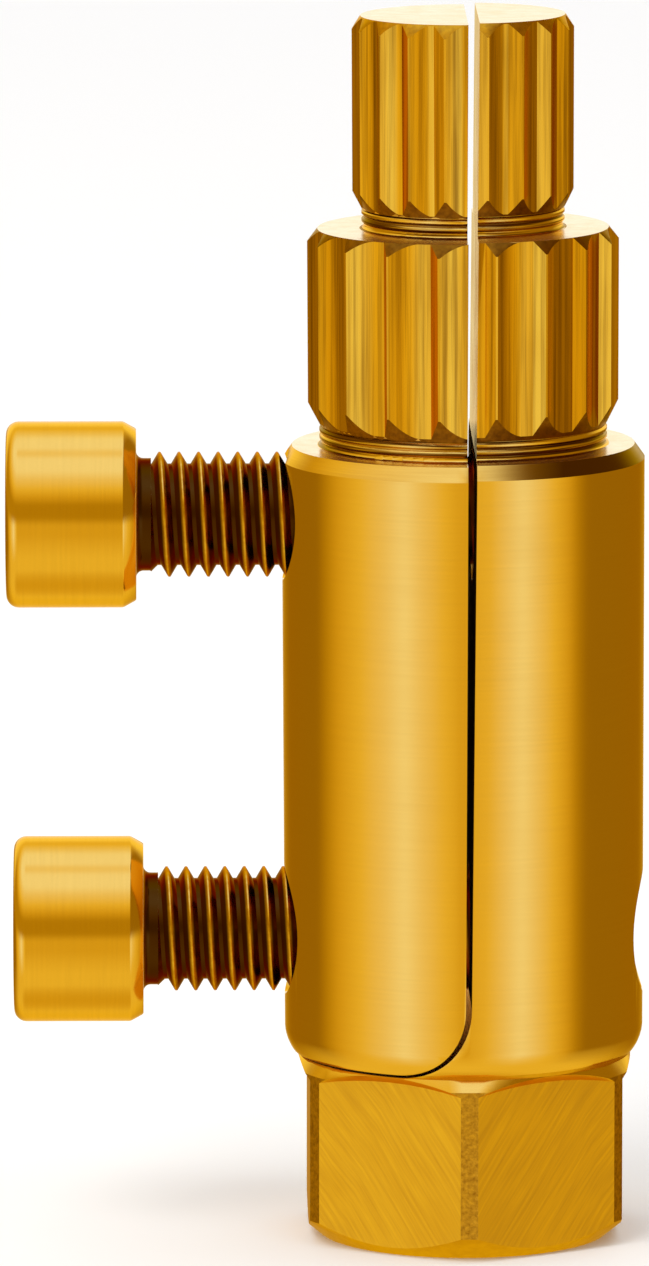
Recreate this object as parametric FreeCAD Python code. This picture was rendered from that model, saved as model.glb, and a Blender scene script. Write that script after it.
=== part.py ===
import FreeCAD, Part
import math
import os

# Split expanding extractor for broken pipe ends, driven by a wrench.
#
# A bar is turned to two fluted grips, a round body and a hexagon, and a narrow cut then parts it
# lengthwise. The cut comes down from the top beside the axis, turns through a large radius above the
# hexagon and leaves sideways along a shoulder, so the left half, moving_jaw, is a separate piece and
# the right half, fixed_jaw, keeps the hexagon. The tie screw passes through the moving jaw into the
# fixed jaw and holds the two together. The spreading screw bears on the floor of a pocket in the fixed
# jaw, and as it turns the moving jaw climbs along it and rocks on its outer bottom edge, so the grips
# open. The tie screw sits loosely in the moving jaw and lets it rock.
#
# Frame: millimetres, +Z up along the axis, origin on the axis at the hexagon's bottom face.
# The screws lie along X with their heads towards -X. The cut lies in the YZ plane.

# Driving dimensions
HEX_ACROSS_FLATS = 20.0
BODY_DIAMETER = 23.0
LARGE_GRIP_DIAMETER = 19.6
SMALL_GRIP_DIAMETER = 13.8
SHOULDER_Z = 11.8            # where the hexagon ends and the moving jaw begins
BODY_TOP_Z = 51.25
LARGE_GRIP_TOP_Z = 65.15
TOTAL_HEIGHT = 78.75
CUT_WIDTH = 0.36             # kerf of the parting cut
CUT_FIXED_X = 0.25           # the fixed jaw's flat face, at its foot
CUT_DRIFT = 0.5              # how much further from the axis the cut is at the top
CUT_CORNER_RADIUS = 4.3      # moving jaw's inner bottom corner
THREAD_DIAMETER = 8.0
THREAD_PITCH = 1.25
SCREW_LENGTH = 25.0          # under the head
HEAD_DIAMETER = 11.9
HEAD_HEIGHT = 8.3
KEY_ACROSS_FLATS = 6.0
TIE_Z = 19.7
SPREAD_Z = 46.6
TIE_BEARING_X = -20.6        # underside of the tie screw's head
SPREAD_BEARING_X = -21.0

# Hexagon and its turned ends
HEX_APOTHEM = HEX_ACROSS_FLATS / 2
HEX_CORNER_RADIUS = 11.24    # the corners keep a strip of the turned bar
HEX_FOOT_RADIUS = 9.3
HEX_FOOT_CHAMFER = 1.6
HEX_SHOULDER_RADIUS = 10.7
HEX_TOP_CHAMFER = 0.7
HEX_FLAT_TOP_Z = 11.3        # the face mill's arc stops here on each flat's middle line
FACE_MILL_RADIUS = 25.0
FACE_MILL_BEVEL = 0.7        # rise of the arc per millimetre of depth
HEX_TURN_DEG = 0.6           # the hexagon isn't quite square to the cut

# Body
BODY_RADIUS = BODY_DIAMETER / 2
BODY_ROUND_TOP_Z = 13.6
BODY_ROUND_MID = (11.23, 12.55)
BODY_RIM_RADIUS = 10.85
BODY_RIM_CHAMFER = 0.9

# Grips: teeth that bite when the pipe end is unscrewed, and a chamfer at each end. A tooth has a
# narrow land, a long side, the root circle and a steep side
GRIP_TEETH = 18
TOOTH_LAND = 0.14
LARGE_GRIP_RADIUS = LARGE_GRIP_DIAMETER / 2
LARGE_GRIP_ROOT = 9.15
LARGE_GRIP_LONG_DEG = 10.5   # the angle that a tooth's long side takes
LARGE_GRIP_STEEP_DEG = 3.4   # and its steep side
LARGE_GRIP_HOLLOW = 0.08     # how far the long side is hollowed
LARGE_GRIP_FOOT = (9.0, 52.5)
LARGE_GRIP_FOOT_CHAMFER = 1.5
LARGE_GRIP_RIM = (9.15, 0.8)  # top radius and chamfer height
SMALL_GRIP_RADIUS = SMALL_GRIP_DIAMETER / 2
SMALL_GRIP_ROOT = 6.4
SMALL_GRIP_LONG_DEG = 9.6
SMALL_GRIP_STEEP_DEG = 6.4
SMALL_GRIP_HOLLOW = 0.05
SMALL_GRIP_FOOT = (6.33, 66.45)
SMALL_GRIP_FOOT_CHAMFER = 1.1
SMALL_GRIP_RIM = (6.35, 0.85)

# Necks: a fillet on the step below, then rings left by the turning tool
NECK_FILLET = 0.3
NECK_RING = 0.14
LARGE_NECK_RADIUS = 8.95
SMALL_NECK_RADIUS = 6.2

# Moving jaw: it has sunk towards the shoulder, and rocks on its outer bottom edge there
JAW_DROP = 0.16
JAW_REST_DEG = 0.3           # how far it stands open at rest, from the place where it was cut
JAW_MOST_DEG = 1.85          # and when it is open all the way
JAW_BORE_RADIUS = 4.22

# Fixed jaw's holes
POCKET_RADIUS = 4.25
POCKET_END_GAP = 0.03
TIE_BORE_RADIUS = 4.05

# Screws
THREAD_RADIUS = THREAD_DIAMETER / 2
THREAD_ROOT_RADIUS = 3.25
THREAD_ROOT_WIDTH = 0.25
THREAD_START_CHAMFER = 0.4
TIP_CHAMFER = 0.8
NECK_RADIUS = 3.6            # plain neck between head and thread
NECK_LENGTH = 0.9
HEAD_NECK_FILLET = 0.45
HEAD_EDGE_FILLET = 0.8
HEAD_UNDER_CHAMFER = (0.45, 0.8)  # along the radius and along the screw
SOCKET_DEPTH = 4.5
SOCKET_LEAD_IN = 0.4

X_AXIS = FreeCAD.Vector(1, 0, 0)
Y_AXIS = FreeCAD.Vector(0, 1, 0)
Z_AXIS = FreeCAD.Vector(0, 0, 1)
ORIGIN = FreeCAD.Vector(0, 0, 0)
CLEAR = 40.0                 # reaches well outside the object


def vec(x, y, z):
    return FreeCAD.Vector(x, y, z)


def line(a, b):
    return Part.LineSegment(a, b).toShape()


def face_of(points):
    """A flat face with straight sides."""
    return Part.Face(Part.makePolygon([*points, points[0]]))


def turned(stations):
    """A solid turned about Z. A station is (radius, z), or (radius, z, (radius, z)) for an arc that
    comes to it from the one before through the given middle point."""
    def point(station):
        return vec(station[0], 0, station[1])

    edges = []
    for before, after in zip(stations, stations[1:]):
        if len(after) == 3:
            edges.append(Part.Arc(point(before), point(after[2]), point(after)).toShape())
        else:
            edges.append(line(point(before), point(after)))
    edges.append(line(point(stations[-1]), point(stations[0])))
    return Part.Face(Part.Wire(edges)).revolve(ORIGIN, Z_AXIS, 360)


def fillet_middle(corner_r, corner_z, radius):
    """Middle of the quarter arc that fills an inner corner, coming in along r and leaving along z."""
    reach = radius * (1 - math.sqrt(0.5))
    return (corner_r + reach, corner_z + reach)


def neck(radius, bottom_z, top_z):
    """Stations of a neck from the step below to just under the grip above, with two rings."""
    stations = [
        (radius + NECK_FILLET, bottom_z),
        (radius, bottom_z + NECK_FILLET, fillet_middle(radius, bottom_z, NECK_FILLET)),
    ]
    ring_pitch = (top_z - bottom_z - NECK_FILLET) / 2
    for i in range(2):
        ring_z = bottom_z + NECK_FILLET + ring_pitch * (i + 0.5)
        stations += [
            (radius, ring_z - 1.5 * NECK_RING),
            (radius + NECK_RING, ring_z - NECK_RING / 2),
            (radius + NECK_RING, ring_z + NECK_RING / 2),
            (radius, ring_z + 1.5 * NECK_RING),
        ]
    return [*stations, (radius, top_z)]


def grip(radius, root, long_deg, steep_deg, hollow, foot, foot_chamfer, rim, top_z):
    """A toothed grip: the turned shape inside a prism of saw teeth. Seen from above and going round
    counter-clockwise, each tooth rises steeply and then falls away in its long hollowed side."""
    def on_circle(r, angle):
        return vec(r * math.sin(angle), -r * math.cos(angle), foot[1])

    pitch = 2 * math.pi / GRIP_TEETH
    edges = []
    for i in range(GRIP_TEETH):
        crest = pitch * (i + 0.5)
        long_start = crest + TOOTH_LAND / radius
        long_end = long_start + math.radians(long_deg)
        steep_start = crest + pitch - math.radians(steep_deg)
        top = on_circle(radius, long_start)
        low = on_circle(root, long_end)
        middle = (top + low) / 2
        middle *= 1 - hollow / math.hypot(middle.x, middle.y)
        middle.z = foot[1]
        root_middle = on_circle(root, (long_end + steep_start) / 2)
        root_end = on_circle(root, steep_start)
        edges += [
            line(on_circle(radius, crest), top),
            Part.Arc(top, middle, low).toShape(),
            Part.Arc(low, root_middle, root_end).toShape(),
            line(root_end, on_circle(radius, crest + pitch)),
        ]
    teeth = Part.Face(Part.Wire(edges)).extrude(vec(0, 0, top_z - foot[1]))
    blank = turned([
        (0, foot[1]),
        foot,
        (radius, foot[1] + foot_chamfer),
        (radius, top_z - rim[1]),
        (rim[0], top_z),
        (0, top_z),
    ])
    return blank.common(teeth)


def hexagon_cutters():
    """What the face mill takes away on each of the six flats. Its bevelled edge leaves a narrow
    slope along the arc where it stops below the shoulder."""
    depth = BODY_RADIUS - HEX_APOTHEM
    cutters = []
    for i in range(6):
        cutter = Part.makeCone(
            FACE_MILL_RADIUS, FACE_MILL_RADIUS + FACE_MILL_BEVEL * depth, depth,
            vec(HEX_APOTHEM, 0, HEX_FLAT_TOP_Z - FACE_MILL_RADIUS), X_AXIS)
        cutter.rotate(ORIGIN, Z_AXIS, 60 * i + HEX_TURN_DEG)
        cutters.append(cutter)
    return cutters


def bar():
    """The whole bar before the parting cut. The flats are milled before the body is joined on, so
    the mill takes nothing above the shoulder."""
    hexagon = turned([
        (0, 0),
        (HEX_FOOT_RADIUS, 0),
        (HEX_CORNER_RADIUS, HEX_FOOT_CHAMFER),
        (HEX_CORNER_RADIUS, SHOULDER_Z - HEX_TOP_CHAMFER),
        (HEX_SHOULDER_RADIUS, SHOULDER_Z),
        (0, SHOULDER_Z),
    ]).cut(hexagon_cutters())
    body = turned([
        (0, SHOULDER_Z),
        (HEX_SHOULDER_RADIUS, SHOULDER_Z),
        (BODY_RADIUS, BODY_ROUND_TOP_Z, BODY_ROUND_MID),
        (BODY_RADIUS, BODY_TOP_Z - BODY_RIM_CHAMFER),
        (BODY_RIM_RADIUS, BODY_TOP_Z),
        *neck(LARGE_NECK_RADIUS, BODY_TOP_Z, LARGE_GRIP_FOOT[1]),
        (0, LARGE_GRIP_FOOT[1]),
    ])
    large = grip(LARGE_GRIP_RADIUS, LARGE_GRIP_ROOT, LARGE_GRIP_LONG_DEG, LARGE_GRIP_STEEP_DEG,
                 LARGE_GRIP_HOLLOW, LARGE_GRIP_FOOT, LARGE_GRIP_FOOT_CHAMFER, LARGE_GRIP_RIM,
                 LARGE_GRIP_TOP_Z)
    upper_neck = turned([
        (0, LARGE_GRIP_TOP_Z),
        *neck(SMALL_NECK_RADIUS, LARGE_GRIP_TOP_Z, SMALL_GRIP_FOOT[1]),
        (0, SMALL_GRIP_FOOT[1]),
    ])
    small = grip(SMALL_GRIP_RADIUS, SMALL_GRIP_ROOT, SMALL_GRIP_LONG_DEG, SMALL_GRIP_STEEP_DEG,
                 SMALL_GRIP_HOLLOW, SMALL_GRIP_FOOT, SMALL_GRIP_FOOT_CHAMFER, SMALL_GRIP_RIM,
                 TOTAL_HEIGHT)
    return hexagon.fuse([body, large, upper_neck, small]).removeSplitter()


def left_of_cut(face_x, floor_z, corner_radius):
    """Everything left of an upright plane and above a floor, with a rounded inner bottom corner."""
    top_z = TOTAL_HEIGHT + 1
    face_top = vec(face_x + CUT_DRIFT, 0, top_z)
    centre = vec(face_x - corner_radius, 0, floor_z + corner_radius)
    diagonal = corner_radius * math.sqrt(0.5)
    corner_top = vec(face_x, 0, floor_z + corner_radius)
    corner_mid = vec(centre.x + diagonal, 0, centre.z - diagonal)
    corner_end = vec(face_x - corner_radius, 0, floor_z)
    wire = Part.Wire([
        line(face_top, corner_top),
        Part.Arc(corner_top, corner_mid, corner_end).toShape(),
        line(corner_end, vec(-CLEAR, 0, floor_z)),
        line(vec(-CLEAR, 0, floor_z), vec(-CLEAR, 0, top_z)),
        line(vec(-CLEAR, 0, top_z), face_top),
    ])
    wire.translate(vec(0, -CLEAR, 0))
    return Part.Face(wire).extrude(vec(0, 2 * CLEAR, 0))


def rod(radius, start_x, end_x, z):
    return Part.makeCylinder(radius, end_x - start_x, vec(start_x, 0, z), X_AXIS)


def fixed_jaw(whole):
    """Hexagon, right half of the body and right half of both grips."""
    jaw = whole.cut(left_of_cut(CUT_FIXED_X, SHOULDER_Z, CUT_CORNER_RADIUS + CUT_WIDTH))
    pocket_floor_x = SPREAD_BEARING_X + SCREW_LENGTH + POCKET_END_GAP
    pocket = rod(POCKET_RADIUS, 0, pocket_floor_x, SPREAD_Z)
    tie_hole = rod(TIE_BORE_RADIUS, 0, CLEAR, TIE_Z)
    return jaw.cut([pocket, tie_hole])


def moving_jaw(whole):
    """Left half of the body and of both grips, as it stands at rest. Its bores are in line with the
    screws half way through its travel, so they clear them at both ends of it."""
    jaw = whole.common(left_of_cut(CUT_FIXED_X - CUT_WIDTH, SHOULDER_Z + CUT_WIDTH, CUT_CORNER_RADIUS))
    jaw.translate(vec(0, 0, -JAW_DROP))
    pivot = vec(-HEX_SHOULDER_RADIUS, 0, SHOULDER_Z)
    half_way = JAW_MOST_DEG / 2
    jaw.rotate(pivot, Y_AXIS, -half_way)
    jaw = jaw.cut([rod(JAW_BORE_RADIUS, -CLEAR, CLEAR, z) for z in (TIE_Z, SPREAD_Z)])
    jaw.rotate(pivot, Y_AXIS, half_way - JAW_REST_DEG)
    return jaw


def hexagon_hole(across_flats, depth):
    """The recess for a hexagon key, with the cone that its drill leaves, along Z from 0 down."""
    corner = across_flats / math.sqrt(3)
    corners = [vec(corner * math.cos(math.pi / 3 * i), corner * math.sin(math.pi / 3 * i), 0)
               for i in range(6)]
    walls = face_of(corners).extrude(vec(0, 0, -depth))
    drill = across_flats / 2
    cone = Part.makeCone(0, drill, drill / 2, vec(0, 0, -depth - drill / 2))
    lead_in = Part.makeCone(across_flats / 2 - 0.1, corner + SOCKET_LEAD_IN / 2, SOCKET_LEAD_IN + 0.2,
                            vec(0, 0, -SOCKET_LEAD_IN - 0.1))
    return walls.fuse([cone, lead_in])


def thread_groove():
    """The helical groove between the crests, swept from past the tip to past the plain neck."""
    half_crest = THREAD_PITCH * 7 / 16
    outside = THREAD_RADIUS + 0.2
    flank_growth = 0.2 * (half_crest - THREAD_ROOT_WIDTH / 2) / (THREAD_RADIUS - THREAD_ROOT_RADIUS)
    start_z = -SCREW_LENGTH - THREAD_PITCH
    helix = Part.makeHelix(THREAD_PITCH, THREAD_PITCH - start_z, THREAD_RADIUS)
    helix.translate(vec(0, 0, start_z))
    section = Part.makePolygon([
        vec(THREAD_ROOT_RADIUS, 0, start_z - THREAD_ROOT_WIDTH / 2),
        vec(outside, 0, start_z - half_crest - flank_growth),
        vec(outside, 0, start_z + half_crest + flank_growth),
        vec(THREAD_ROOT_RADIUS, 0, start_z + THREAD_ROOT_WIDTH / 2),
        vec(THREAD_ROOT_RADIUS, 0, start_z - THREAD_ROOT_WIDTH / 2),
    ])
    return Part.Wire(helix.Edges).makePipeShell([section], True, True)


def outside_end(end_z, outward, chamfer):
    """What is turned away round one end of the threaded rod. outward is 1 at its top, -1 at its tip."""
    return turned([
        (THREAD_RADIUS - chamfer, end_z),
        (THREAD_RADIUS - chamfer, end_z + outward),
        (THREAD_RADIUS + 1, end_z + outward),
        (THREAD_RADIUS + 1, end_z - outward * (chamfer + 1)),
    ])


def screw_head():
    """The head with its key recess, and the plain neck, which reaches into the core of the thread.
    The head's underside is at 0."""
    core_radius = THREAD_ROOT_RADIUS - 0.25
    radius = HEAD_DIAMETER / 2
    edge = HEAD_EDGE_FILLET
    edge_mid = edge * (1 - math.sqrt(0.5))
    neck_mid = HEAD_NECK_FILLET * (1 - math.sqrt(0.5))
    blank = turned([
        (0, -2 * NECK_LENGTH),
        (core_radius, -2 * NECK_LENGTH),
        (core_radius, -NECK_LENGTH),
        (NECK_RADIUS, -NECK_LENGTH),
        (NECK_RADIUS, -HEAD_NECK_FILLET),
        (NECK_RADIUS + HEAD_NECK_FILLET, 0, (NECK_RADIUS + neck_mid, -neck_mid)),
        (radius - HEAD_UNDER_CHAMFER[0], 0),
        (radius, HEAD_UNDER_CHAMFER[1]),
        (radius, HEAD_HEIGHT - edge),
        (radius - edge, HEAD_HEIGHT, (radius - edge_mid, HEAD_HEIGHT - edge_mid)),
        (0, HEAD_HEIGHT),
    ])
    recess = hexagon_hole(KEY_ACROSS_FLATS, SOCKET_DEPTH)
    recess.translate(vec(0, 0, HEAD_HEIGHT))
    return blank.cut(recess)


def cap_screw():
    """A hexagon socket screw along Z, head up, with the underside of its head at 0. The thread is
    cut in a plain rod first, because cutting it in the finished screw isn't reliable."""
    thread = Part.makeCylinder(THREAD_RADIUS, SCREW_LENGTH - NECK_LENGTH, vec(0, 0, -SCREW_LENGTH), Z_AXIS)
    thread = thread.cut(thread_groove())
    thread = thread.cut(outside_end(-SCREW_LENGTH, -1, TIP_CHAMFER))
    thread = thread.cut(outside_end(-NECK_LENGTH, 1, THREAD_START_CHAMFER))
    return thread.fuse(screw_head())


def placed_screw(bearing_x, z):
    """The screw lies along X with its head towards -X."""
    screw = cap_screw()
    screw.rotate(ORIGIN, Y_AXIS, -90)
    screw.translate(vec(bearing_x, 0, z))
    return screw


def main():
    os.makedirs("parts", exist_ok=True)
    whole = bar()
    nodes = {
        "fixed_jaw": fixed_jaw(whole),
        "moving_jaw": moving_jaw(whole),
        "spreading_screw": placed_screw(SPREAD_BEARING_X, SPREAD_Z),
        "tie_screw": placed_screw(TIE_BEARING_X, TIE_Z),
    }
    for name, shape in nodes.items():
        box = shape.BoundBox
        print(f"{name}: {len(shape.Solids)} solid, valid {shape.isValid()}, {shape.Volume:.1f} mm3, "
              f"x {box.XMin:.2f} to {box.XMax:.2f}, z {box.ZMin:.2f} to {box.ZMax:.2f}")
        shape.exportStep(f"parts/{name}.step")


main()
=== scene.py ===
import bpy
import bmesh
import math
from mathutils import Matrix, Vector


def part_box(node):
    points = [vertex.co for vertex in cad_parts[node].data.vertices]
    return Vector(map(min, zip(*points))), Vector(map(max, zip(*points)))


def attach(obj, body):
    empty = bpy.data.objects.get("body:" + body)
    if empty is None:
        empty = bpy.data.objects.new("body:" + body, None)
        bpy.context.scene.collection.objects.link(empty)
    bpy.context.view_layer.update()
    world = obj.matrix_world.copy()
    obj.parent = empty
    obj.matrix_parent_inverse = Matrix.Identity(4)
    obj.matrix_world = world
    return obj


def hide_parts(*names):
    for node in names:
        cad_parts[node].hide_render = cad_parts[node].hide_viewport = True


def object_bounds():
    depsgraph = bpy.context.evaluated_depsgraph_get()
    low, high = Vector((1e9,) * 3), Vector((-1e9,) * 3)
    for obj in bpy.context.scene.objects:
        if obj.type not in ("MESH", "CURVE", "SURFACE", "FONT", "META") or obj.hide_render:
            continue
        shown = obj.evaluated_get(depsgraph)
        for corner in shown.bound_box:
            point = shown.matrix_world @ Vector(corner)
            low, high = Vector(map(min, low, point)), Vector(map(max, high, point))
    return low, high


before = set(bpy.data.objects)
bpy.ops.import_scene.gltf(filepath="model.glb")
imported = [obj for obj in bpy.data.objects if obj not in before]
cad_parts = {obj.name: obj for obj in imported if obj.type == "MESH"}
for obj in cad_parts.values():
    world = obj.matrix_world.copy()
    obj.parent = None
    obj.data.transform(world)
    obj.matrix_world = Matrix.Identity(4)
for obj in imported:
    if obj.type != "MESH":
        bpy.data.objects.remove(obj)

# %% [markdown]
# # A split expanding extractor for broken pipe ends
# The real tool is one steel bar with a gold-toned coating. It was turned on a lathe, six flats were
# milled on its foot, teeth were cut along its two grips, and a fine wire then parted it into two
# jaws. Two socket screws cross it. The CAD model is the frame: it says where every surface is and
# how the pieces move, and everything below stays inside its box.

MM = 0.001
cad_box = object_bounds()
scene = bpy.context.scene
print("height: %.1f mm" % (cad_box[1].z / MM))

# %% [markdown]
# ## The camera
# A long lens from about three quarters of a metre keeps the upright sides nearly parallel. The
# camera looks slightly down on the tool, so the round shoulders show as narrow ellipses, and it
# stands a touch to the left, so that the parting cut is open to the eye between the grips and
# closed between the thicker halves of the body.

# %% Camera
CAMERA_DISTANCE = 752 * MM
CAMERA_ELEVATION = math.radians(9.0)
CAMERA_AZIMUTH = math.radians(0.7)
LENS_MM = 334
aim = Vector(((cad_box[0].x + cad_box[1].x) / 2 - 0.06 * MM, 0, 38.9 * MM))
turned_to = Matrix.Rotation(-CAMERA_AZIMUTH, 4, "Z") @ Matrix.Rotation(
    math.pi / 2 - CAMERA_ELEVATION, 4, "X")
camera_data = bpy.data.cameras.new("main_camera")
camera_data.lens = LENS_MM
camera_data.sensor_width = 36
camera_data.clip_start = 0.05
camera_data.clip_end = 20
camera = bpy.data.objects.new("main_camera", camera_data)
camera.location = aim + turned_to.to_3x3() @ Vector((0, 0, CAMERA_DISTANCE))
camera.rotation_euler = turned_to.to_euler()
scene.collection.objects.link(camera)
scene.camera = camera
print("camera at", [round(c, 3) for c in camera.location])

# %% [markdown]
# ## The light
# Polished metal shows its surroundings, so the surroundings are the light. Two soft boxes stand in
# front, a little to each side, and a third hangs above. The room is a warm gold between them and
# dark to the far left, the far right and the upper right, and a white backdrop stands behind. A
# round bar then gets two soft bright stripes with darker edges. The soft boxes could be area lights
# and cards, but here the room is a small set of blends over the direction, which is quick to render
# and has no noise. Only reflections see its colours: the camera and the soft light on the floor see
# a plain near-white. The pale floor is left out of the reflections, where it would lighten the
# whole underside of every curve.

# %% A helper that lays out shader nodes
def add_node(tree, kind, inputs=None, **settings):
    """Adds a node, sets its properties, and fills or links its inputs by name or number."""
    node = tree.nodes.new(kind)
    for name, value in settings.items():
        setattr(node, name, value)
    for key, value in (inputs or {}).items():
        if isinstance(value, bpy.types.NodeSocket):
            tree.links.new(value, node.inputs[key])
        else:
            node.inputs[key].default_value = value
    return node


def add_ramp(tree, factor, stops):
    """A colour ramp through (position, colour) stops, where a plain number means a grey."""
    ramp = add_node(tree, "ShaderNodeValToRGB", {"Fac": factor})
    elements = ramp.color_ramp.elements
    while len(elements) < len(stops):
        elements.new(0.5)
    for element, (position, colour) in zip(elements, stops):
        element.position = position
        element.color = (colour, colour, colour, 1) if isinstance(colour, float) else (*colour, 1)
    return ramp.outputs["Color"]


# %% The room, as blends over the direction
DIM = (0.37, 0.23, 0.01)
LOW = (0.54, 0.36, 0.015)
FILL = (0.79, 0.58, 0.08)
MID = (0.97, 0.82, 0.27)
WARM = (1.02, 1.00, 1.25)
SOFT_BOX = (1.09, 1.24, 2.5)
WHITE = (1.15, 1.12, 1.05)
RIM = (1.0, 0.86, 0.50)


def degrees_round(angle):
    """Place on the ramp of a direction, in degrees round from the camera towards +X."""
    return 0.5 + angle / 360


def degrees_up(angle):
    """Place on the ramp of a direction, in degrees above the horizon."""
    return 0.5 + math.sin(math.radians(angle)) / 2


def ramp_by_angle(tree, factor, to_place, stops):
    """A ramp whose stops are angles in degrees, which to_place turns into places on it."""
    return add_ramp(tree, factor, [(to_place(angle), value) for angle, value in stops])


def blend(tree, share, first, second):
    """The first colour where share is 0, the second where it is 1."""
    sockets = {0: share}
    for socket, colour in ((6, first), (7, second)):
        sockets[socket] = (*colour, 1) if isinstance(colour, tuple) else colour
    return add_node(tree, "ShaderNodeMix", sockets, data_type="RGBA").outputs[2]


def from_zero_to_one(tree, value):
    """Moves one part of a direction from the range -1 to 1 into the range 0 to 1."""
    return add_node(tree, "ShaderNodeMapRange", {0: value, 1: -1.0, 2: 1.0}).outputs[0]


# %% The room round the tool, above it and below it
def colours_around(tree, parts):
    """Two soft boxes in front, dark sides and a light wall behind, by the angle round the tool."""
    away = add_node(tree, "ShaderNodeMath", {0: parts["Y"], 1: -1.0}, operation="MULTIPLY")
    turn = add_node(tree, "ShaderNodeMath", {0: parts["X"], 1: away.outputs[0]}, operation="ARCTAN2")
    place = add_node(tree, "ShaderNodeMapRange", {0: turn.outputs[0], 1: -math.pi, 2: math.pi})
    return ramp_by_angle(tree, place.outputs[0], degrees_round, (
        (-180, RIM), (-166, LOW), (-150, DIM), (-108, DIM), (-100, LOW), (-88, FILL), (-70, MID),
        (-52, WARM), (-39, SOFT_BOX), (-27, WARM), (-13, MID), (1, FILL), (14, MID), (25, WARM),
        (36, SOFT_BOX), (47, WARM), (58, MID), (69, FILL), (76, LOW), (84, DIM), (150, DIM),
        (166, LOW), (180, RIM)))


def colours_above(tree, parts, height):
    """A soft box overhead, and a dark upper right."""
    overhead = ramp_by_angle(tree, height, degrees_up, (
        (0, LOW), (20, LOW), (30, FILL), (40, MID), (53, WARM), (64, SOFT_BOX), (82, SOFT_BOX),
        (90, WARM)))
    sideways = from_zero_to_one(tree, parts["X"])
    right_side = add_ramp(tree, sideways, [(0.0, 0.0), (0.62, 0.0), (0.74, 1.0), (1.0, 1.0)])
    return blend(tree, right_side, overhead, DIM)


def colours_below(tree, height):
    return ramp_by_angle(tree, height, degrees_up, ((-90, FILL), (-65, MID), (-40, MID), (-20, MID)))


def backdrop_share(tree, parts, height):
    """1 on the white backdrop, which stands behind the tool from the horizon up, and 0 elsewhere."""
    behind = add_ramp(tree, from_zero_to_one(tree, parts["Y"]), [
        (0.0, 0.0), (0.80, 0.0), (0.93, 1.0), (1.0, 1.0)])
    over_horizon = add_ramp(tree, height, [
        (0.0, 0.0), (degrees_up(-3), 0.0), (degrees_up(3), 1.0), (degrees_up(26), 1.0),
        (degrees_up(40), 0.0), (1.0, 0.0)])
    return add_node(tree, "ShaderNodeMath", {0: behind, 1: over_horizon},
                    operation="MULTIPLY").outputs[0]


# %% Put the room together
PLAIN_BACKGROUND = (0.99, 0.985, 0.975)


def build_room():
    world = bpy.data.worlds.new("soft_studio")
    scene.world = world
    world.use_nodes = True
    tree = world.node_tree
    tree.nodes.clear()
    direction = add_node(tree, "ShaderNodeTexCoord").outputs["Generated"]
    parts = add_node(tree, "ShaderNodeSeparateXYZ", {0: direction}).outputs
    height = from_zero_to_one(tree, parts["Z"])
    is_up = add_ramp(tree, height, [
        (0.0, 0.0), (degrees_up(-5), 0.0), (degrees_up(4), 1.0), (1.0, 1.0)])
    is_down = add_ramp(tree, height, [
        (0.0, 1.0), (degrees_up(-48), 1.0), (degrees_up(-18), 0.0), (1.0, 0.0)])
    level_and_below = blend(tree, is_down, colours_around(tree, parts), colours_below(tree, height))
    whole = blend(tree, is_up, level_and_below, colours_above(tree, parts, height))
    reflected = blend(tree, backdrop_share(tree, parts, height), whole, WHITE)
    path = add_node(tree, "ShaderNodeLightPath").outputs
    sees_plain = add_node(tree, "ShaderNodeMath", {0: path["Is Camera Ray"],
                                                   1: path["Is Diffuse Ray"]}, operation="MAXIMUM")
    colour = blend(tree, sees_plain.outputs[0], reflected, PLAIN_BACKGROUND)
    shade = add_node(tree, "ShaderNodeBackground", {"Color": colour, "Strength": 1.0})
    add_node(tree, "ShaderNodeOutputWorld", {"Surface": shade.outputs[0]})
    print("room blends:", len(tree.nodes), "nodes")


build_room()

# %% The floor
FLOOR_HALF_WIDTH = 6


def build_floor():
    bm = bmesh.new()
    bmesh.ops.create_grid(bm, x_segments=1, y_segments=1, size=FLOOR_HALF_WIDTH)
    mesh = bpy.data.meshes.new("floor")
    bm.to_mesh(mesh)
    bm.free()
    floor = bpy.data.objects.new("floor", mesh)
    scene.collection.objects.link(floor)
    floor.visible_glossy = False
    material = bpy.data.materials.new("pale_floor")
    material.use_nodes = True
    shader = material.node_tree.nodes["Principled BSDF"]
    shader.inputs["Base Color"].default_value = (0.93, 0.93, 0.92, 1)
    shader.inputs["Roughness"].default_value = 0.9
    mesh.materials.append(material)
    print("floor:", 2 * FLOOR_HALF_WIDTH, "m wide")


build_floor()

# %% The key light, which is left out of the reflections too
KEY_WIDTH = 0.6
KEY_WATTS = 5
key_data = bpy.data.lights.new("soft_key", "AREA")
key_data.size = KEY_WIDTH
key_data.energy = KEY_WATTS
key_data.color = (1.0, 0.98, 0.95)
key = bpy.data.objects.new("soft_key", key_data)
key.location = (-0.5, -0.6, 0.8)
key.rotation_euler = (aim - key.location).to_track_quat("-Z", "Y").to_euler()
key.visible_glossy = False
scene.collection.objects.link(key)
scene.view_settings.view_transform = "Standard"
print("key light:", KEY_WATTS, "W")

# %% [markdown]
# ## The gold-toned finish
# The tool is steel with a thin hard coating, so it reflects like metal and its colour comes from the
# reflection itself. One function makes every gold finish. Each finish has its own grain, because
# each surface was made in its own way, and the grain is stretched along the path of the tool that
# cut it. It moves the colour a little, the roughness more, and lifts the surface by a few
# thousandths of a millimetre.

# %% One function for every gold finish
GOLD = (0.84, 0.50, 0.065)
DEEP_GOLD = (0.56, 0.27, 0.018)


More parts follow.
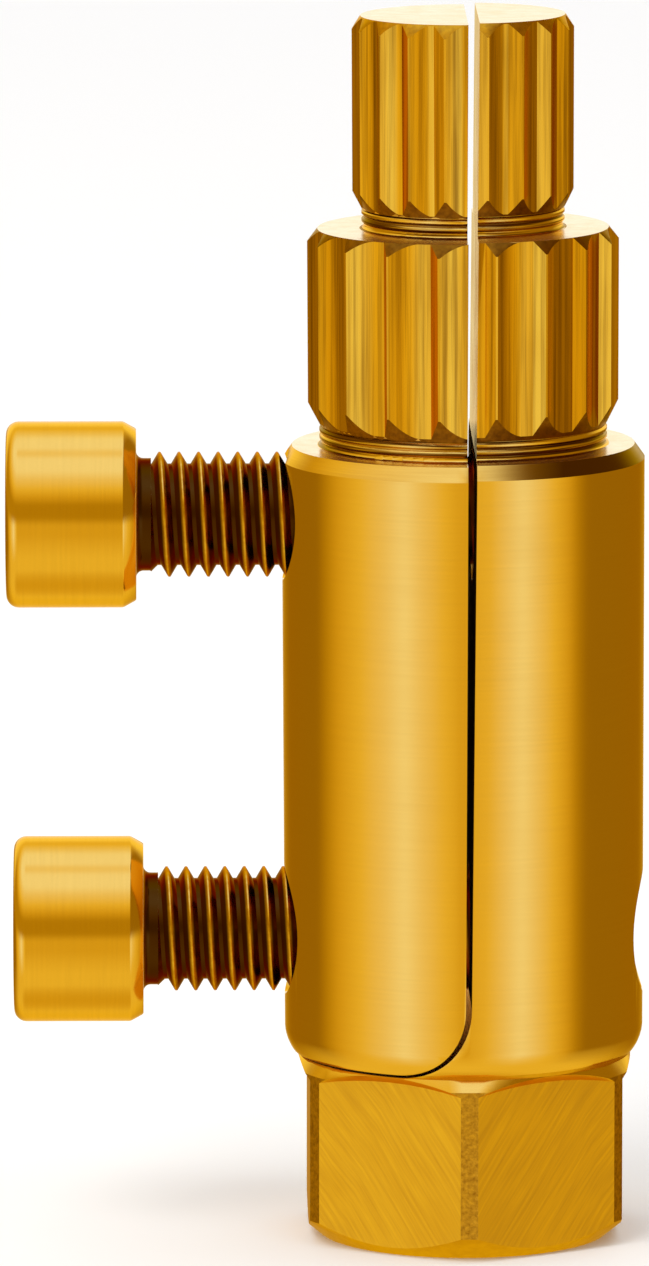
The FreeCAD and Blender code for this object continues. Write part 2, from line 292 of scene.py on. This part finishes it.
def gold_finish(name, grain, light=GOLD, dark=DEEP_GOLD, dark_share=0.25, roughness=(0.22, 0.34),
                lift=0.002, source="Object", contrast=(0.35, 0.75), edge=(1.0, 0.80, 0.40),
                shade=None):
    """Metal with a grain. grain is how many marks per millimetre run along each axis, dark_share is
    how far the grain may pull the colour to the dark tone, contrast is where in the grain that pull
    begins and is full, edge is the tint of glancing reflections, lift is the grain's height in mm,
    and shade is a function that changes the tone by place."""
    material = bpy.data.materials.new(name)
    material.use_nodes = True
    tree = material.node_tree
    shader = tree.nodes["Principled BSDF"]
    shader.inputs["Metallic"].default_value = 1.0
    shader.inputs["Specular Tint"].default_value = (*edge, 1)
    where = add_node(tree, "ShaderNodeTexCoord").outputs[source]
    stretch = add_node(tree, "ShaderNodeMapping", {"Vector": where,
                                                   "Scale": [g / MM for g in grain]})
    marks = add_node(tree, "ShaderNodeTexNoise", {"Vector": stretch.outputs[0], "Scale": 1.0,
                                                  "Detail": 4.0, "Roughness": 0.6}).outputs["Fac"]
    cloud = add_node(tree, "ShaderNodeTexNoise", {"Vector": where, "Scale": 0.25 / MM,
                                                  "Detail": 2.0}).outputs["Fac"]
    pull = add_ramp(tree, marks, [(contrast[0], 0.0), (contrast[1], float(dark_share))])
    tone = blend(tree, pull, light, dark)
    if shade:
        tone = shade(tree, where, tone)
    tree.links.new(tone, shader.inputs["Base Color"])
    both = add_node(tree, "ShaderNodeMath", {0: marks, 1: cloud}, operation="ADD")
    rough = add_node(tree, "ShaderNodeMapRange", {0: both.outputs[0], 1: 0.7, 2: 1.3,
                                                  3: roughness[0], 4: roughness[1]})
    tree.links.new(rough.outputs[0], shader.inputs["Roughness"])
    bump = add_node(tree, "ShaderNodeBump", {"Height": marks, "Distance": lift * MM, "Strength": 1.0})
    tree.links.new(bump.outputs[0], shader.inputs["Normal"])
    return material


# %% [markdown]
# ## Darkness that is painted in
# Some small faces lie deep in the tool or look away from the light, and this room leaves them too
# bright: the right side of the body's rim, the ends of the teeth, the rings of the necks, the faces
# of the cut below the grips, the valleys of the threads and the key recesses. Dark cards in the room
# could do this too, but a browner tone is simpler to place and leaves the wide faces alone. It is
# fixed to the metal, so it stays put when the tool is seen from elsewhere. On the rim and in the
# threads it is a blend over the place.

# %% The rim's darker side
RIM_BROWN = (0.11, 0.035, 0.002)
RIM_FULL_BROWN_X = 6 * MM
RIM_MOST_BROWN = 0.95


def darker_to_the_right(tree, where, tone):
    """A browner tone towards +X, which stands for a dark card beside the tool."""
    x = add_node(tree, "ShaderNodeSeparateXYZ", {0: where}).outputs["X"]
    share = add_node(tree, "ShaderNodeMapRange", {0: x, 1: 0.0, 2: RIM_FULL_BROWN_X, 3: 0.0,
                                                  4: RIM_MOST_BROWN})
    return blend(tree, share.outputs[0], tone, RIM_BROWN)


# %% The jaws' finishes
BROWN = (0.13, 0.045, 0.003)
PALE_GOLD = (0.96, 0.79, 0.50)
finishes = {
    "turned": gold_finish("turned_gold", (0.15, 0.15, 9.0), dark_share=0.06, roughness=(0.13, 0.19),
                          lift=0.0006),
    "teeth": gold_finish("cut_teeth_gold", (3.0, 3.0, 0.05), light=(0.80, 0.43, 0.022),
                         dark=(0.27, 0.115, 0.005), dark_share=0.85, roughness=(0.13, 0.24),
                         lift=0.005, contrast=(0.42, 0.74)),
    "tooth_ends": gold_finish("tooth_ends_gold", (2.5, 2.5, 2.5), light=(0.27, 0.105, 0.004),
                              dark=BROWN, dark_share=0.8, roughness=(0.28, 0.42), lift=0.003),
    "tooth_tops": gold_finish("tooth_tops_gold", (2.5, 2.5, 2.5), light=(0.64, 0.31, 0.01),
                              dark=(0.28, 0.13, 0.012), dark_share=0.6, roughness=(0.24, 0.34)),
    "rim": gold_finish("rim_gold", (0.15, 0.15, 6.0), dark_share=0.3, roughness=(0.14, 0.22),
                       shade=darker_to_the_right),
    "neck": gold_finish("neck_gold", (0.05, 0.05, 4.0), dark=BROWN, dark_share=1.0,
                        roughness=(0.14, 0.24), lift=0.006, contrast=(0.44, 0.54)),
    "flats": gold_finish("milled_flat_gold", (5.0, 0.22, 1.0), light=(0.86, 0.48, 0.018),
                         dark_share=0.5, roughness=(0.30, 0.44), lift=0.007, source="UV"),
    "foot": gold_finish("hexagon_foot_gold", (1.5, 1.5, 1.5), light=(0.76, 0.42, 0.02),
                        dark_share=0.4, roughness=(0.28, 0.40)),
    "raw": gold_finish("unmilled_corner_gold", (3.2, 3.2, 3.2), light=(0.74, 0.42, 0.04),
                       dark=(0.34, 0.15, 0.008), dark_share=1.0, roughness=(0.32, 0.5), lift=0.02),
    "cut": gold_finish("wire_cut_gold", (2.5, 6.0, 0.4), dark_share=0.3, roughness=(0.10, 0.18),
                       lift=0.0006, edge=(1.0, 0.95, 0.85)),
    "cut_low": gold_finish("unlit_cut_gold", (2.5, 6.0, 0.4), light=(0.20, 0.08, 0.006),
                           dark=BROWN, dark_share=0.8, roughness=(0.65, 0.8), lift=0.01),
    "faced": gold_finish("faced_gold", (0.8, 0.8, 0.8), light=PALE_GOLD, dark=GOLD, dark_share=0.3,
                         roughness=(0.16, 0.26), lift=0.0008, edge=(1.0, 0.98, 0.94)),
}
print("finishes:", ", ".join(material.name for material in finishes.values()))

# %% [markdown]
# ## The two jaws
# Their shapes come from turning, milling and the wire cut, and the CAD meshes already hold all of
# that. What a CAD mesh lacks is the tiny break along each edge that makes real metal catch the
# light. So each jaw is a copy of its CAD mesh: the loose triangles are merged, flat areas become
# single faces, and every sharp edge gets a narrow bevel. A bevel modifier would do the same, but
# the operator lets the copy be cleaned first.

# %% Copy a CAD node and break its edges
EDGE_BREAK = 0.07 * MM
SHARP = math.radians(24)


def merged_copy(node):
    bm = bmesh.new()
    bm.from_mesh(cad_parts[node].data)
    bmesh.ops.remove_doubles(bm, verts=bm.verts, dist=1e-7)
    bmesh.ops.dissolve_limit(bm, angle_limit=math.radians(0.3), verts=bm.verts, edges=bm.edges,
                             use_dissolve_boundaries=False)
    return bm


def break_edges(bm, width):
    sharp = [e for e in bm.edges if len(e.link_faces) == 2 and e.calc_face_angle(0) > SHARP]
    bmesh.ops.bevel(bm, geom=sharp, offset=width, offset_type="OFFSET", affect="EDGES", segments=2,
                    profile=0.5, clamp_overlap=True, material=-1)
    return len(sharp)


def finish_piece(bm, name, body, node):
    """Turns a bmesh into a finished piece that rides on a body and stands for its CAD node."""
    mesh = bpy.data.meshes.new(name)
    bm.to_mesh(mesh)
    bm.free()
    mesh.shade_smooth()
    mesh.set_sharp_from_angle(angle=math.radians(32))
    piece = bpy.data.objects.new(name, mesh)
    scene.collection.objects.link(piece)
    even = piece.modifiers.new("even_normals", "WEIGHTED_NORMAL")
    even.keep_sharp = True
    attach(piece, body)
    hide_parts(node)
    print(name, len(mesh.polygons), "faces")
    return piece


# %% [markdown]
# ## Which finish goes where
# Each face of a jaw was made by one tool, and where it is and which way it looks tell which tool
# that was. A face could be picked by its number in the mesh, but the numbers change with every new
# CAD model, so the faces are sorted by place and direction. The faces of the cut run the whole
# height of a jaw, so each is first divided where the body ends, below which little light gets in.

# %% Say which finish each face of a jaw has
HEX_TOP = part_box("moving_jaw")[0].z
BODY_RIM = (50.0 * MM, 51.4 * MM)
UNLIT_CUT_TOP = 51.2 * MM
NECKS = ((51.1 * MM, 52.5 * MM), (65.1 * MM, 66.4 * MM))
GRIPS_FROM = 52.5 * MM
SMALL_GRIP_TOP_CHAMFER = 77.5 * MM
FLAT_DISTANCE = 10.0 * MM
CORNER_RADIUS = 11.24 * MM
BODY_RADIUS = 11.5 * MM
CUT_MOST_X = 1.2 * MM


def jaw_finish(face):
    centre = face.calc_center_median()
    normal = face.normal
    radius = math.hypot(centre.x, centre.y)
    if centre.z < HEX_TOP:
        if abs(normal.z) < 0.05 and abs(centre.dot(normal) - FLAT_DISTANCE) < 0.03 * MM:
            return "flats"
        if abs(normal.z) < 0.3 and radius > CORNER_RADIUS - 0.15 * MM:
            return "raw"
        if normal.z < -0.2:
            return "foot"
    on_cut = radius < BODY_RADIUS - 0.1 * MM and abs(centre.x) < CUT_MOST_X
    if on_cut and abs(normal.x) > 0.999:
        return "cut" if centre.z > UNLIT_CUT_TOP else "cut_low"
    if normal.z > 0.99:
        return "faced"
    on_rim = BODY_RIM[0] < centre.z < BODY_RIM[1] and radius > BODY_RADIUS - 0.9 * MM
    if on_rim and 0.2 < normal.z < 0.98:
        return "rim"
    if any(low < centre.z < high for low, high in NECKS) and abs(normal.z) < 0.95:
        return "neck"
    if centre.z > GRIPS_FROM - 0.05 * MM:
        if abs(normal.z) > 0.3:
            return "tooth_ends" if centre.z < SMALL_GRIP_TOP_CHAMFER else "tooth_tops"
        return "teeth"
    return "turned"


# %% Give the faces their finishes, and the flats the path of the mill
MILL_RADIUS = 26 * MM
MILL_CENTRE = Vector((MILL_RADIUS, -14 * MM))


def paint_jaw(bm):
    """Material numbers for every face. On the hexagon's flats the UV map runs along and across the
    arcs that the milling cutter swept."""
    names = list(finishes)
    uv = bm.loops.layers.uv.new("mill_path")
    for face in bm.faces:
        kind = jaw_finish(face)
        face.material_index = names.index(kind)
        if kind != "flats":
            continue
        across = Vector((-face.normal.y, face.normal.x))
        side = 1 if face.normal.x > 0 else -1
        for loop in face.loops:
            point = loop.vert.co
            local = Vector((across.dot(point.xy) * side, point.z)) - MILL_CENTRE
            loop[uv].uv = (local.length, math.atan2(local.y, -local.x) * MILL_RADIUS)


# %% Make both jaws
def make_jaw(node):
    bm = merged_copy(node)
    bmesh.ops.bisect_plane(bm, geom=bm.verts[:] + bm.edges[:] + bm.faces[:], dist=1e-7,
                           plane_co=(0, 0, UNLIT_CUT_TOP), plane_no=(0, 0, 1))
    count = break_edges(bm, EDGE_BREAK)
    paint_jaw(bm)
    piece = finish_piece(bm, node + "_finished", node, node)
    for material in finishes.values():
        piece.data.materials.append(material)
    print(" ", count, "edges broken")


make_jaw("fixed_jaw")
make_jaw("moving_jaw")

# %% [markdown]
# ## The two screws
# A cap screw is a short fat head with a hexagon recess, and a thread. The head is a profile
# spun round the screw's axis. The recess is a six-sided ring bridged to the round rim and pushed in.
# The thread is one tooth's outline spun many turns while it moves along by its pitch, which is how
# a lathe cuts it. Both its ends are chamfered, and a slimmer plain neck joins it to the head. A
# straight stack of rings would be simpler, but the crests of a real thread lean.

# %% Measures of a screw
HEAD_RADIUS = 5.95 * MM
HEAD_HEIGHT = 8.3 * MM
THREAD_RADIUS = 4.0 * MM
THREAD_ROOT = 3.25 * MM
PITCH = 1.25 * MM
SHANK = 25.0 * MM
NECK_RADIUS = 3.6 * MM
NECK_LENGTH = 0.9 * MM
KEY_RADIUS = 6.0 * MM / math.sqrt(3)
KEY_DEPTH = 4.5 * MM
ROUND_STEPS = 96
print("thread: %.1f mm across, %.2f mm pitch" % (2 * THREAD_RADIUS / MM, PITCH / MM))


def profile(bm, points):
    """A string of edges through (x, radius) points, in the XZ plane."""
    verts = [bm.verts.new((x, 0, r)) for x, r in points]
    return verts + [bm.edges.new(pair) for pair in zip(verts, verts[1:])]


def arc(x, r, radius, start, end, steps=6):
    """Points of an arc in the profile's plane, with angles in degrees."""
    angles = [math.radians(start + (end - start) * i / steps) for i in range(steps + 1)]
    return [(x + radius * math.cos(a), r + radius * math.sin(a)) for a in angles]


# %% The head, spun from its outline
HEAD_EDGE = 0.8 * MM
HEAD_FOOT = 0.45 * MM
KEY_LEAD = 0.3 * MM
KEY_CONE = 1.4 * MM


def head_outline():
    """From the recess's rim round the edge, along the head and in to the neck."""
    outline = [(-HEAD_HEIGHT, KEY_RADIUS + KEY_LEAD)]
    outline += arc(-HEAD_HEIGHT + HEAD_EDGE, HEAD_RADIUS - HEAD_EDGE, HEAD_EDGE, 180, 90)
    outline += [
        (-0.88 * MM, HEAD_RADIUS),
        (-0.74 * MM, HEAD_RADIUS - 0.05 * MM),
        (-0.07 * MM, HEAD_RADIUS - 0.42 * MM),
        (0, HEAD_RADIUS - 0.50 * MM),
    ]
    outline += arc(HEAD_FOOT, NECK_RADIUS + HEAD_FOOT, HEAD_FOOT, 180, 270)
    inside_thread = NECK_LENGTH + 0.05 * MM
    return outline + [(inside_thread, NECK_RADIUS), (inside_thread, 0)]


print("head outline:", len(head_outline()), "points")


# %% The recess: a hexagon bridged to the head's rim and pushed in
def push_in(bm, depth):
    """Extrudes the open edge, moves the new ring along the screw and returns its points."""
    open_edge = [e for e in bm.edges if e.is_boundary]
    grown = bmesh.ops.extrude_edge_only(bm, edges=open_edge)["geom"]
    ring = [v for v in grown if isinstance(v, bmesh.types.BMVert)]
    bmesh.ops.translate(bm, verts=ring, vec=(depth, 0, 0))
    return ring


def cut_recess(bm):
    rim = [e for e in bm.edges if e.is_boundary]
    lay_down = Matrix.Translation((-HEAD_HEIGHT + KEY_LEAD, 0, 0)) @ Matrix.Rotation(
        math.pi / 2, 4, "Y")
    corners = bmesh.ops.create_circle(bm, segments=6, radius=KEY_RADIUS, matrix=lay_down)["verts"]
    bmesh.ops.subdivide_edges(bm, edges=list({e for v in corners for e in v.link_edges}),
                              cuts=ROUND_STEPS // 6 - 1)
    hexagon = [e for e in bm.edges if e.is_wire]
    bmesh.ops.bridge_loops(bm, edges=rim + hexagon)
    push_in(bm, KEY_DEPTH - KEY_LEAD)
    cone_tip = push_in(bm, KEY_CONE)
    bmesh.ops.scale(bm, verts=cone_tip, vec=(1, 0, 0))
    bmesh.ops.remove_doubles(bm, verts=bm.verts, dist=1e-6)


def make_head(bm):
    bmesh.ops.spin(bm, geom=profile(bm, head_outline()), cent=(0, 0, 0), axis=(1, 0, 0),
                   dvec=(0, 0, 0), angle=math.tau, steps=ROUND_STEPS, use_merge=True,
                   use_duplicate=False)
    bmesh.ops.remove_doubles(bm, verts=bm.verts, dist=1e-7)
    cut_recess(bm)


# %% The thread: one tooth spun along the screw
STEPS_PER_TURN = 48
THREAD_START = NECK_LENGTH
ROOT_FLAT = 0.125 * MM
CREST_EASE = 0.03 * MM
THREAD_ENDS = ((THREAD_START, 1, 0.4 * MM), (SHANK, -1, 0.8 * MM))


def chamfer_thread(bm):
    """Pulls every point in under a cone at each end, which faces inward along the screw."""
    for vert in bm.verts:
        radius = math.hypot(vert.co.y, vert.co.z)
        if radius < 1e-6:
            continue
        wanted = min([radius] + [THREAD_RADIUS - size + (vert.co.x - end) * inward
                                 for end, inward, size in THREAD_ENDS])
        vert.co.y *= wanted / radius
        vert.co.z *= wanted / radius


def make_thread(bm):
    turns = math.ceil((SHANK - THREAD_START) / PITCH) + 2
    valley, crest, half_crest = THREAD_START - PITCH, THREAD_START - PITCH / 2, PITCH / 16
    tooth = profile(bm, [
        (valley, THREAD_ROOT),
        (valley + ROOT_FLAT, THREAD_ROOT),
        (crest - half_crest, THREAD_RADIUS - CREST_EASE),
        (crest - half_crest / 2, THREAD_RADIUS),
        (crest + half_crest / 2, THREAD_RADIUS),
        (crest + half_crest, THREAD_RADIUS - CREST_EASE),
        (THREAD_START - ROOT_FLAT, THREAD_ROOT),
        (THREAD_START, THREAD_ROOT),
    ])
    bmesh.ops.spin(bm, geom=tooth, cent=(0, 0, 0), axis=(1, 0, 0),
                   dvec=(PITCH / STEPS_PER_TURN, 0, 0), angle=math.tau * turns,
                   steps=turns * STEPS_PER_TURN, use_merge=False, use_duplicate=False)
    bmesh.ops.remove_doubles(bm, verts=bm.verts, dist=2e-6)
    for end, inward, _ in THREAD_ENDS:
        bmesh.ops.bisect_plane(bm, geom=bm.verts[:] + bm.edges[:] + bm.faces[:], dist=1e-7,
                               plane_co=(end, 0, 0), plane_no=(-inward, 0, 0), clear_outer=True)
    bmesh.ops.holes_fill(bm, edges=[e for e in bm.edges if e.is_boundary], sides=0)
    chamfer_thread(bm)
    print("thread:", turns, "turns before it is cut to length,", len(bm.faces), "faces after")


# %% The darker tone in the thread's valleys
VALLEY_BROWN = (0.07, 0.025, 0.002)
VALLEY_RADIUS = 3.72 * MM


def brown_valleys(axis_z):
    """A shade that is full up to VALLEY_RADIUS from the screw's axis and nearly gone at the
    crests, since little light gets between them."""
    def shade(tree, where, tone):
        parts = add_node(tree, "ShaderNodeSeparateXYZ", {0: where}).outputs
        up = add_node(tree, "ShaderNodeMath", {0: parts["Z"], 1: axis_z}, operation="SUBTRACT")
        flat = add_node(tree, "ShaderNodeCombineXYZ", {0: 0.0, 1: parts["Y"], 2: up.outputs[0]})
        radius = add_node(tree, "ShaderNodeVectorMath", {0: flat.outputs[0]}, operation="LENGTH")
        share = add_node(tree, "ShaderNodeMapRange", {0: radius.outputs["Value"], 1: VALLEY_RADIUS,
                                                      2: THREAD_RADIUS, 3: 1.0, 4: 0.1})
        return blend(tree, share.outputs[0], tone, VALLEY_BROWN)
    return shade


# %% [markdown]
# ## Put the screws together
# A screw is one piece with three finishes: a head with fine rings round it, a thread and a recess.
# The head and the thread could be two pieces, but a real screw is one. Both screws are left out of
# all reflections, so that the stripes on the body stay unbroken. The price is that a recess can't
# reflect its own walls and would look bright, which is why its finish is dark.

# %% The finishes of a screw
HEAD_FINISH, THREAD_FINISH, RECESS_FINISH = range(3)


def screw_finishes(node, axis_z):
    return [
        gold_finish(node + "_head_gold", (6.0, 0.2, 0.2), dark_share=0.12, roughness=(0.11, 0.18),
                    lift=0.0008),
        gold_finish(node + "_thread_gold", (2.0, 2.0, 2.0), dark_share=0.8, roughness=(0.16, 0.28),
                    lift=0.003, edge=(0.75, 0.40, 0.12), shade=brown_valleys(axis_z)),
        gold_finish(node + "_recess_gold", (0.4, 3.0, 3.0), light=(0.24, 0.105, 0.006), dark=BROWN,
                    dark_share=0.7, roughness=(0.35, 0.5)),
    ]


def paint_screw(bm, under_head, axis_z):
    for face in bm.faces:
        centre = face.calc_center_median()
        radius = math.hypot(centre.y, centre.z - axis_z)
        along = centre.x - under_head
        if radius < KEY_RADIUS and along < -0.2 * MM:
            face.material_index = RECESS_FINISH
        elif 0.02 * MM < along < SHANK - 0.01 * MM:
            face.material_index = THREAD_FINISH
        else:
            face.material_index = HEAD_FINISH


# %% Make both screws
def make_screw(node):
    low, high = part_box(node)
    axis_z = (low.z + high.z) / 2
    under_head = low.x + HEAD_HEIGHT
    bm = bmesh.new()
    make_thread(bm)
    rod = bpy.data.meshes.new("rod")
    bm.to_mesh(rod)
    bm.clear()
    make_head(bm)
    bm.from_mesh(rod)
    bmesh.ops.recalc_face_normals(bm, faces=bm.faces)
    bmesh.ops.transform(bm, matrix=Matrix.Translation((under_head, 0, axis_z)), verts=bm.verts)
    paint_screw(bm, under_head, axis_z)
    open_edges = sum(1 for e in bm.edges if len(e.link_faces) != 2)
    piece = finish_piece(bm, node + "_finished", node, node)
    piece.visible_glossy = False
    for material in screw_finishes(node, axis_z):
        piece.data.materials.append(material)
    print(" ", open_edges, "open edges")


make_screw("spreading_screw")
make_screw("tie_screw")
